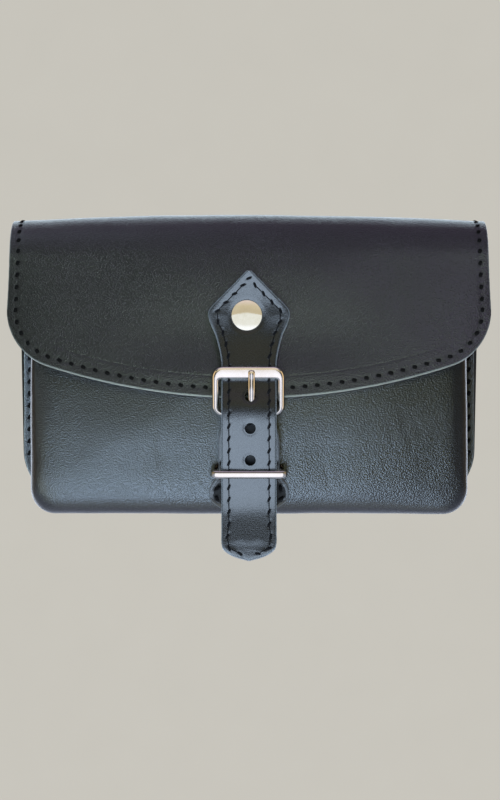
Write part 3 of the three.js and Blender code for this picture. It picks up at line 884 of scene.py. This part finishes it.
strapSeats = stitchSeats(strapSewn + mirrored(strapSewn) + tipSewn, strapPoint, probe, strap["stitch"],
                         strapRelief, strap["sewInset"])
between = [(mix(a[0], b[0], 0.5), mix(a[1], b[1], 0.5), b[0] - a[0], b[1] - a[1])
           for a, b in zip(strapSewn, strapSewn[1:])]
linkSize = (strap["sewPitch"] * strap["linkShare"], strap["link"])    # thread in its groove, between stitches
strapLinks = stitchSeats(between + mirrored(between), strapPoint, probe, linkSize, strapRelief,
                         strap["sewInset"], 0)
strapSpots = stripSpots(strapLine, strap["columns"], strap["rowStep"])
strapSheet = laySheet("leather_strap", strapSpots, strapPoint, probe,
                      treeOf([strapPoint(sign * u, v) for u, v in strapOutline for sign in (-1, 1)]),
                      treeOf(stitchSlots(strapSeats)), strapRelief, strap["sewnShadeReach"])
punches = [addPunch(strap["holeRadius"], strap["holeSide"], strap["holeDepth"], height, 0)
           for height in strap["holeHeights"]]
giveWall(strapSheet, strap["wall"], [bridle, flesh, cutEdge], punches + [rivetPunch()])
finishPiece(strapSheet, ["billet_strap"])
sewRow("strap_stitches", strapSeats + strapLinks)


# the tab that carries the buckle, folded round its low bar

buckle = {
    "half": 14.4, "shift": -0.3, "tall": 20, "thick": 2.4, "side": 2.65, "topBar": 5, "lowBar": 2.1,
    "footCorner": 4.2, "topCorner": 4.4, "holeFoot": 1.6, "holeTop": 1, "rounding": 1.15,
    "tilt": math.radians(11.2), "barDepth": 50.7, "barHeight": 41.2,
}
# polished is the millimetres in from the tab's edges beyond which its face takes the near-black leather,
# painted shade where the strap shades it
tab = {
    "wall": 1.8, "rounding": 0.5, "columns": 36, "rowStep": 0.7, "swells": [(0.04, 9, 4.4)],
    "foldRadius": 3.5, "foldHalf": 10.3, "slotSide": 1, "slotHalf": 2, "slotFoot": 36.2, "polished": 1.7,
    "sewInset": 2.7, "sewPitch": 4.4, "stitch": (2.8, 1.3), "sewFrom": 5, "sewTop": 24, "sewLeast": 1,
    "slotDent": (0.4, 0.65),
}
tabFront = [    # depth, height, half width
    (31.5, -2.2, 0), (36.8, -1.1, 6), (42.6, 2.6, 11.6), (45.2, 5.8, 15.4), (46.6, 9.2, 16.1),
    (47.7, 12.6, 14.9), (49, 15.4, 12.5), (51.6, 19.5, 12.2), (53.2, 24, 12.2), (54, 32, 12),
    (54.2, 38, 10.3),
]
tabFold = [(buckle["barDepth"] + tab["foldRadius"] * math.cos(turn * math.pi),
            buckle["barHeight"] + tab["foldRadius"] * math.sin(turn * math.pi), tab["foldHalf"])
           for turn in shares(6)]
tabBack = [(47.2, 34, 10.3), (47.3, 26, 10.3)]
tabLine = stripLine(tabFront + tabFold + tabBack)
tabOutline = stripOutline(tabLine)
tabInset = [(side, run) for side, run in insetLine(tabOutline, tab["sewInset"])
            if side > tab["sewLeast"] and tab["sewFrom"] < run < tab["sewTop"]]
tabSewn = spaced(tabInset, tab["sewPitch"])


def tabPoint(side, run):
    depth, height = stripAt(tabLine, run)[:2]
    return place(side, depth, height)


def tabRelief(side, run, point, edge, slot):
    return swelling(point, tab["swells"]) - rounded(edge, tab["rounding"]) - dent(slot, tab["slotDent"])


tabSeats = stitchSeats(tabSewn + mirrored(tabSewn), tabPoint, probe, tab["stitch"], tabRelief,
                       tab["sewInset"])
tabSheet = laySheet("leather_tab", stripSpots(tabLine, tab["columns"], tab["rowStep"]), tabPoint, probe,
                    treeOf([tabPoint(sign * u, v) for u, v in tabOutline for sign in (-1, 1)]),
                    treeOf(stitchSlots(tabSeats)), tabRelief)
bpy.ops.object.select_all(action="DESELECT")
bpy.ops.mesh.primitive_cube_add(size=1,
                                location=place(tab["slotSide"], buckle["barDepth"], buckle["barHeight"]),
                                scale=(2 * tab["slotHalf"] * mm, 4 * tab["foldRadius"] * mm,
                                       2 * (buckle["barHeight"] - tab["slotFoot"]) * mm))
tabSlot = bpy.context.object
tabSlot.data.materials.append(cutEdge)
tabLeathers = [bridle, flesh, cutEdge, tabShadeLeather]
giveWall(tabSheet, tab["wall"], tabLeathers, [tabSlot])
tabEdges = tabSheet.data.attributes["edge"].data
for face in tabSheet.data.polygons:    # painted shade: beyond its border, the face that lies under the strap takes the dead black leather that stands in for the strap's shade
    if face.material_index == 0 and tabEdges[face.vertices[0]].value > tab["polished"]:
        face.material_index = tabLeathers.index(tabShadeLeather)
finishPiece(tabSheet, ["buckle_tab"])
sewRow("tab_stitches", tabSeats)


# belt loops on the back, sewn at both ends

loop = {
    "wall": 2.4, "rounding": 0.5, "half": 12.5, "side": 52, "gap": 0.3, "slot": 5.6, "foot": 18,
    "slotFoot": 30, "slotTop": 94, "top": 101.5, "ramp": 8, "lead": 1, "step": 0.8, "edgeStep": 0.5,
    "sewInset": 2.4, "topRow": 6.2, "footRow": 9.4, "sewPitch": 3.9, "stitch": (2.4, 1.3),
    "slotDent": (0.4, 0.65), "swells": [(0.08, 12, 6.1)],
}
loopLow = -(loop["gap"] + loop["wall"])
loopHigh = loopLow - loop["slot"]


def loopPoint(shift):
    def pointAt(side, run):
        height = loop["top"] - run
        foot, top = loop["slotFoot"] - loop["lead"], loop["slotTop"] + loop["lead"]
        off = min(ease(foot, foot + loop["ramp"], height), 1 - ease(top - loop["ramp"], top, height))
        return place(side + shift, mix(loopLow, loopHigh, off), height)
    return pointAt


loopRun = loop["top"] - loop["foot"]
loopHalf = loop["half"]
loopOutline = [(side, run) for side in stepped([(-loopHalf, loop["edgeStep"]), (loopHalf, 0)])
               for run in (0, loopRun)]
loopOutline += [(side, run) for run in stepped([(0, loop["edgeStep"]), (loopRun, 0)])
                for side in (-loopHalf, loopHalf)]
sewnHalf = loopHalf - loop["sewInset"]
loopSewn = []
for near, far in ((loop["sewInset"], loop["topRow"]),
                  (loopRun - loop["sewInset"], loopRun - loop["footRow"])):
    loopSewn += spaced([(-sewnHalf, near), (sewnHalf, near)], loop["sewPitch"])
    loopSewn += spaced([(-sewnHalf, far), (sewnHalf, far)], loop["sewPitch"])
    for side in (-sewnHalf, sewnHalf):
        loopSewn += spaced([(side, near), (side, far)], loop["sewPitch"])


def loopRelief(side, run, point, edge, slot):
    return swelling(point, loop["swells"]) - rounded(edge, loop["rounding"]) - dent(slot, loop["slotDent"])


loopBands = cutBands + [(1.1, loop["step"])]
loopSpots = [[(side, run) for side in edgeToEdge(-loopHalf, loopHalf, loopBands)]
             for run in edgeToEdge(0, loopRun, loopBands)]
for hand, sign in (("left", -1), ("right", 1)):
    bandPoint = loopPoint(sign * loop["side"])
    bandSeats = stitchSeats(loopSewn, bandPoint, probe, loop["stitch"], loopRelief, loop["sewInset"])
    band = laySheet("belt_loop_" + hand + "_leather", loopSpots, bandPoint, probe,
                    treeOf([bandPoint(u, v) for u, v in loopOutline]), treeOf(stitchSlots(bandSeats)),
                    loopRelief)
    giveWall(band, loop["wall"], [cowhide, flesh, cutEdge])
    finishPiece(band, ["belt_loop_" + hand])
    sewRow("belt_loop_" + hand + "_stitches", bandSeats)


# metal

# a flat ring: two outlines of half width, foot, top and both corners, bridged and given their thickness
def addRing(name, outer, inner, thick, rounding):
    outlines = []
    for half, foot, top, *corners in (outer, inner):
        bpy.ops.object.select_all(action="DESELECT")
        bpy.ops.mesh.primitive_plane_add(size=1, location=(0, (foot + top) / 2 * mm, 0))
        outline = bpy.context.object
        outline.scale = (2 * half * mm, (top - foot) * mm, 1)
        bpy.ops.object.transform_apply(location=True, rotation=False, scale=True)
        for radius, outermost in zip(corners, (min, max)):
            editAll(outline, "DESELECT")
            bpy.ops.object.mode_set(mode="OBJECT")
            reach = outermost(vertex.co.y for vertex in outline.data.vertices)
            for vertex in outline.data.vertices:
                vertex.select = abs(vertex.co.y - reach) < 0.01 * mm
            bpy.ops.object.mode_set(mode="EDIT")
            bpy.ops.mesh.bevel(offset=radius * mm, segments=8, affect="VERTICES")
            bpy.ops.object.mode_set(mode="OBJECT")
        editAll(outline)
        bpy.ops.mesh.delete(type="ONLY_FACE")
        bpy.ops.object.mode_set(mode="OBJECT")
        outlines.append(outline)
    ring, hole = outlines
    onlySelect(ring)
    hole.select_set(True)
    bpy.ops.object.join()
    editAll(ring)
    bpy.ops.mesh.bridge_edge_loops()
    bpy.ops.object.mode_set(mode="OBJECT")
    ring.name = ring.data.name = name
    thicken = ring.modifiers.new("thickness", "SOLIDIFY")
    thicken.thickness = thick * mm
    thicken.offset = 0
    corner = ring.modifiers.new("rounding", "BEVEL")
    corner.width = rounding * mm
    corner.segments = 6
    corner.limit_method = "ANGLE"
    corner.angle_limit = math.radians(60)
    corner.use_clamp_overlap = False    # the corners' short edges would hold it back
    applyModifiers(ring)
    editAll(ring)
    bpy.ops.mesh.normals_make_consistent(inside=False)
    bpy.ops.object.mode_set(mode="OBJECT")
    return ring


def settle(piece, spot, turn):
    piece.location = spot
    piece.rotation_euler = (turn, 0, 0)
    onlySelect(piece)
    bpy.ops.object.transform_apply(location=True, rotation=True, scale=True)


buckleFoot = -buckle["lowBar"] / 2
buckleTop = buckleFoot + buckle["tall"]
buckleRing = addRing("nickel_buckle",
                     (buckle["half"], buckleFoot, buckleTop, buckle["footCorner"], buckle["topCorner"]),
                     (buckle["half"] - buckle["side"], buckle["lowBar"] / 2, buckleTop - buckle["topBar"],
                      buckle["holeFoot"], buckle["holeTop"]),
                     buckle["thick"], buckle["rounding"])
settle(buckleRing, place(buckle["shift"], buckle["barDepth"], buckle["barHeight"]),
       math.pi / 2 + buckle["tilt"])
buckleRing.data.materials.append(nickel)
finishPiece(buckleRing, ["buckle_frame"], 35)

keeper = {
    "half": 15.4, "deep": 12.2, "wire": 2.2, "tall": 3.2, "corner": 3.4, "rounding": 1.05,
    "tilt": math.radians(15), "depth": 52.55, "height": 18.2,
}
keeperReach = keeper["deep"] / 2
keeperHole = keeperReach - keeper["wire"]
holeCorner = keeper["corner"] - keeper["wire"]
keeperRing = addRing("nickel_keeper",
                     (keeper["half"], -keeperReach, keeperReach, keeper["corner"], keeper["corner"]),
                     (keeper["half"] - keeper["wire"], -keeperHole, keeperHole, holeCorner, holeCorner),
                     keeper["tall"], keeper["rounding"])
settle(keeperRing, place(0, keeper["depth"], keeper["height"]), keeper["tilt"])
keeperRing.data.materials.append(nickel)
finishPiece(keeperRing, ["keeper_loop"], 35)

prong = {
    "side": 1, "radius": 1.05, "widen": 1.3, "squarer": 0.75, "eyeRadius": 2.75, "around": 20, "steps": 110,
    "eyeFrom": math.radians(110), "eyeTo": math.radians(350), "tip": 1.6,
}
prongReach = [(53.7, 43.5), (54.3, 47), (55.4, 50.5), (55.95, 54.7), (56.35, 56.5), (56.72, 58.4)]
prongEye = []
for turn in shares(8):
    angle = mix(prong["eyeFrom"], prong["eyeTo"], turn)
    prongEye.append((buckle["barDepth"] + prong["eyeRadius"] * math.cos(angle),
                     buckle["barHeight"] + prong["eyeRadius"] * math.sin(angle)))
prongLine = stripLine([(depth, height, 0) for depth, height in prongEye + prongReach])


def makeProng():
    bpy.ops.object.select_all(action="DESELECT")
    bpy.ops.mesh.primitive_grid_add(x_subdivisions=prong["around"], y_subdivisions=prong["steps"], size=2)
    wire = bpy.context.object
    wire.name = wire.data.name = "nickel_prong"
    wire.data.materials.append(nickel)
    length = prongLine[0][-1]
    for vertex in wire.data.vertices:
        angle, run = (vertex.co.x + 1) * math.pi, (vertex.co.y + 1) / 2 * length
        a, b = stripAt(prongLine, run - probe), stripAt(prongLine, run + probe)
        ahead = Vector((b[0] - a[0], b[1] - a[1])).normalized()
        ends = min(run, length - run)
        radius = prong["radius"] * math.sqrt(max(1 - (1 - limit(ends / prong["tip"])) ** 2, 0))
        depth, height = stripAt(prongLine, run)[:2]
        wide, lift = (radius * math.copysign(abs(part) ** prong["squarer"], part)
                      for part in (math.cos(angle), math.sin(angle)))
        vertex.co = place(prong["side"] + prong["widen"] * wide, depth + ahead.y * lift,
                          height - ahead.x * lift)
    editAll(wire)
    bpy.ops.mesh.remove_doubles(threshold=0.005 * mm)
    bpy.ops.mesh.normals_make_consistent(inside=False)
    bpy.ops.object.mode_set(mode="OBJECT")
    return wire


finishPiece(makeProng(), ["buckle_prong"])


# the rivet: half a ball pressed flat for the head, then rim, post and disc drawn down from it
def makeRivet():
    bpy.ops.object.select_all(action="DESELECT")
    bpy.ops.mesh.primitive_uv_sphere_add(segments=48, ring_count=32, radius=rivet["radius"] * mm)
    head = bpy.context.object
    head.name = head.data.name = "nickel_rivet"
    head.data.materials.append(nickel)
    editAll(head)
    bpy.ops.mesh.bisect(plane_co=(0, 0, 0), plane_no=(0, 0, 1), clear_inner=True)
    bpy.ops.mesh.select_all(action="SELECT")
    bpy.ops.object.mode_set(mode="OBJECT")
    for vertex in head.data.vertices:    # pressed down to a shallow cap
        out = limit(math.hypot(vertex.co.x, vertex.co.y) / (rivet["radius"] * mm))
        vertex.co.z = rivet["dome"] * mm * (1 - out ** rivet["domePower"])
    editAll(head, "DESELECT")
    bpy.ops.mesh.select_non_manifold()
    shank = strap["wall"] + hide["wall"] + rivet["slack"]
    reach = rivet["radius"]
    for drop, radius in ((rivet["rim"], rivet["radius"]),
                         (rivet["foot"], rivet["radius"] - rivet["footInset"]), (0, rivet["post"]),
                         (shank - rivet["foot"], rivet["post"]), (0, rivet["disc"]),
                         (rivet["discWall"], rivet["disc"])):
        bpy.ops.mesh.extrude_region_move(TRANSFORM_OT_translate={"value": (0, 0, -drop * mm)})
        bpy.ops.transform.resize(value=(radius / reach, radius / reach, 1), center_override=(0, 0, 0))
        reach = radius
    bpy.ops.mesh.edge_face_add()
    bpy.ops.mesh.select_all(action="SELECT")
    bpy.ops.mesh.normals_make_consistent(inside=False)
    bpy.ops.object.mode_set(mode="OBJECT")
    run = next(run for run, spot in zip(*strapLine) if spot[1] >= rivet["height"])
    out = Vector((0, -math.cos(rivet["tilt"]), math.sin(rivet["tilt"])))
    settle(head, strapPoint(rivet["side"], run) + out * rivet["rim"] * mm, math.pi / 2 - rivet["tilt"])
    return head


finishPiece(makeRivet(), ["rivet"], 40)
bpy.data.objects.remove(oneStitch)


# stage, light and camera

# painted light: the floor's glow and the walls' colours are the glow the bag sees from the paper
stage = {    # metres; the walls' colours run from the front, behind the camera, to the back
    "floor": -0.8, "flat": 1.1, "bend": 0.8, "wall": 0.65, "around": 96, "steps": 12,
    "glow": (0.45, 0.5, 0.65), "glowFrom": -0.35, "glowTo": -0.7, "bright": 0.955,
    "walls": [(0.0, (0.1, 0.09, 0.06)), (0.18, (0.1, 0.09, 0.06)), (0.33, (0.38, 0.29, 0.18)),
              (0.84, (0.38, 0.29, 0.18)), (0.92, (2.2, 2.5, 3.0))],
}
sky = [    # height on a ball round the bag, colour, strength
    (0.0, "#6a6450", 0.3), (0.33, "#8c8a80", 0.3), (0.6, "#8f8c7c", 0.65), (0.9, "#a69ab8", 1.15),
]
onFlap = ("leather_hide", "hide_", "belt_")
onPouch = ("leather_body", "flange_")
onHide = onFlap + onPouch
onTab = ("leather_tab", "tab_")
onStrap = ("leather_strap", "strap_")
onMetal = ("nickel_buckle", "nickel_prong")
onKeeper = ("nickel_keeper",)
onRivet = ("nickel_rivet",)
# soft boxes: degrees to the right and up as the bag sees them, metres off, width and height, radiance, and
# the pieces they light
lamps = [
    ("low_mid", -8, -25, 0.75, 0.22, 0.7, (10.7, 14.6, 19.4), onPouch),
    ("low_far", -48, -22, 0.75, 0.3, 0.7, (3.8, 4.4, 4.0), onPouch),
    ("low_right", 8, -25, 0.75, 0.2, 0.7, (1.2, 1.0, 0.6), onPouch),
    ("low_deep", -8, -58, 0.75, 0.4, 0.3, (0.4, 0.7, 1.2), onPouch),
    ("high_mid", 3, 22, 0.75, 0.2, 0.5, (2.6, 2.7, 0.6), onPouch),
    ("flap_low", -8, -25, 0.75, 0.22, 0.7, (5.0, 6.6, 6.0), onFlap),
    ("flap_right", 8, -25, 0.75, 0.2, 0.7, (2.6, 2.8, 1.8), onFlap),
    ("flap_deep", -8, -58, 0.75, 0.4, 0.3, (6.0, 7.0, 7.0), onFlap),
    ("flap_high", 3, 22, 0.75, 0.2, 0.5, (0.8, 1.1, 0.7), onFlap),
    ("high_right", 22, 24, 0.75, 0.25, 0.4, (2.5, 2.1, 3.7), onFlap),
    ("over_left", -70, 60, 0.8, 0.5, 0.5, (1.1, 1.35, 1.5), onHide),
    ("behind", 0, 148, 1.2, 1.4, 0.5, (2.2, 2.7, 3.1), onHide),
    ("under", 0, -80, 0.7, 0.6, 0.5, (1.2, 1.3, 1.2), onHide + onStrap + onTab),
    ("strap_front", -4, -13, 0.75, 0.8, 0.83, (4.5, 5.6, 7.0), onStrap),
    ("strap_top", 0, 44, 0.75, 0.5, 0.4, (0.4, 0.38, 0.15), onStrap + onTab),
    ("tab_front", -8, -25, 0.75, 0.4, 0.7, (4.0, 5.0, 6.2), onTab),
    ("metal_front", 0, -24, 0.75, 0.22, 0.8, (1.1, 1.08, 1.2), onMetal),
    ("metal_top", 0, 36, 0.75, 1.0, 1.05, (0.8, 0.7, 0.52), onMetal),
    ("keeper_front", 0, -24, 0.75, 2.0, 0.8, (1.1, 1.08, 1.2), onKeeper),
    ("metal_left", -80, 0, 0.75, 0.9, 1.0, (0.95, 0.68, 0.38), onMetal),
    ("metal_right", 80, 0, 0.75, 0.9, 1.0, (0.95, 0.68, 0.38), onMetal),
    ("rivet_front", 0, -10, 0.75, 1.9, 0.8, (1.12, 1.18, 1.2), onRivet),
    ("rivet_top", 0, 53, 0.75, 1.9, 1.05, (0.75, 0.66, 0.48), onRivet),
]


# Matt studio paper, a seamless sweep that rises all round: even, pale and warm to the camera. To everything
# else
# it glows as painted light: the bag sees it glowing bright behind itself and on the floor, and as a dim tan
# room to its sides.
def paperMaterial():
    material, tree, shader, coords = startMaterial("pale studio paper, matt")
    fibre = addNode(tree, "TexNoise", {"Scale": perMm(60), "Detail": 3}, {"Vector": coords["Object"]})
    tint = addNode(tree, "Mix", {6: colour("#cac7be"), 7: colour("#c7c4bb")}, {0: fibre.outputs["Fac"]},
                   data_type="RGBA")
    spot = addNode(tree, "SeparateXYZ", {}, {0: coords["Object"]})
    floor = addNode(tree, "MapRange", {"From Min": stage["glowFrom"], "From Max": stage["glowTo"]},
                    {"Value": spot.outputs["Z"]}, interpolation_type="SMOOTHSTEP")
    reach = stage["flat"] + stage["bend"]
    back = addNode(tree, "MapRange", {"From Min": -reach, "From Max": reach}, {"Value": spot.outputs["Y"]})
    walls = addNode(tree, "ValToRGB", {}, {0: back.outputs[0]})
    for i, (share, glow) in enumerate(stage["walls"]):
        stop = walls.color_ramp.elements[i] if i < 2 else walls.color_ramp.elements.new(share)
        stop.position = share
        stop.color = (*glow, 1)
    room = addNode(tree, "Mix", {7: (*stage["glow"], 1)}, {0: floor.outputs[0], 6: walls.outputs[0]},
                   data_type="RGBA")
    # painted light: only camera rays see the even pale paper, and all other rays see the glowing room
    seen = addNode(tree, "LightPath").outputs["Is Camera Ray"]
    shown = addNode(tree, "Mix", {}, {0: seen, 6: room.outputs[2], 7: tint.outputs[2]}, data_type="RGBA")
    tree.links.new(shown.outputs[2], shader.inputs["Emission Color"])
    shader.inputs["Emission Strength"].default_value = stage["bright"]
    shader.inputs["Base Color"].default_value = colour("#3c3a36")
    shader.inputs["Roughness"].default_value = 0.95
    shader.inputs["Specular IOR Level"].default_value = 0.0
    return material


def makeSweep():
    bpy.ops.object.select_all(action="DESELECT")
    bpy.ops.mesh.primitive_circle_add(vertices=stage["around"], radius=stage["flat"], fill_type="NGON",
                                      location=(0, 0, stage["floor"]))
    sweep = bpy.context.object
    sweep.name = "studio_sweep"
    bpy.ops.object.transform_apply(location=True, rotation=False, scale=False)
    editAll(sweep)
    bpy.ops.mesh.normals_make_consistent(inside=False)
    bpy.ops.mesh.select_mode(type="EDGE")
    reach, height = stage["flat"], 0.0
    turns = [share * math.pi / 2 for share in shares(stage["steps"])[1:]]
    path = [(stage["flat"] + stage["bend"] * math.sin(t), stage["bend"] * (1 - math.cos(t))) for t in turns]
    for radius, rise in path + [(path[-1][0], path[-1][1] + stage["wall"])]:
        bpy.ops.mesh.extrude_edges_move(TRANSFORM_OT_translate={"value": (0, 0, rise - height)})
        bpy.ops.transform.resize(value=(radius / reach, radius / reach, 1), center_override=(0, 0, 0))
        reach, height = radius, rise
    bpy.ops.object.mode_set(mode="OBJECT")
    sweep.data.materials.append(paperMaterial())
    bpy.ops.object.shade_smooth_by_angle(angle=math.radians(40))
    return sweep


makeSweep()

world = bpy.data.worlds.new("studio room")
world.use_nodes = True
room = world.node_tree
rise = addNode(room, "SeparateXYZ", {}, {0: addNode(room, "TexCoord").outputs["Generated"]}).outputs["Z"]
ramp = addNode(room, "ValToRGB", {}, {0: rise})
for i, (height, tint, strength) in enumerate(sky):
    stop = ramp.color_ramp.elements[i] if i < 2 else ramp.color_ramp.elements.new(height)
    stop.position = height
    stop.color = [part * strength for part in colour(tint)[:3]] + [1]
room.links.new(ramp.outputs[0], room.nodes["Background"].inputs["Color"])
bpy.context.scene.world = world

focus = place(0, 48, 52)    # about the middle of the buckle
for name, right, up, off, wide, tall, glow, lit in lamps:
    right, up = math.radians(right), math.radians(up)
    way = Vector((math.sin(right) * math.cos(up), -math.cos(right) * math.cos(up), math.sin(up)))
    bpy.ops.object.light_add(type="AREA", location=focus + way * off,
                             rotation=way.to_track_quat("Z", "Y").to_euler())
    lamp = bpy.context.object
    lamp.name = name
    lamp.data.shape = "RECTANGLE"
    lamp.data.size, lamp.data.size_y = wide, tall
    lamp.data.energy = max(glow) * math.pi * wide * tall
    lamp.data.color = [part / max(glow) for part in glow]
    lamp.visible_camera = False
    lamp.light_linking.receiver_collection = bpy.data.collections.new(name)
    for piece in [piece for piece in bpy.data.objects if piece.name.startswith(lit)]:
        lamp.light_linking.receiver_collection.objects.link(piece)

camera = {"distance": 800, "depth": 51, "height": 46.5, "side": 0.4, "lens": 90, "sensor": 36}
stand = place(camera["side"], camera["depth"] + camera["distance"], camera["height"])
bpy.ops.object.camera_add(location=stand, rotation=(math.pi / 2, 0, 0))
eye = bpy.context.object
eye.data.lens = camera["lens"]
eye.data.sensor_width = camera["sensor"]
eye.data.clip_end = 20    # metres
bpy.context.scene.camera = eye
bpy.context.scene.view_settings.view_transform = "Standard"
print("stage, lamps and camera placed")
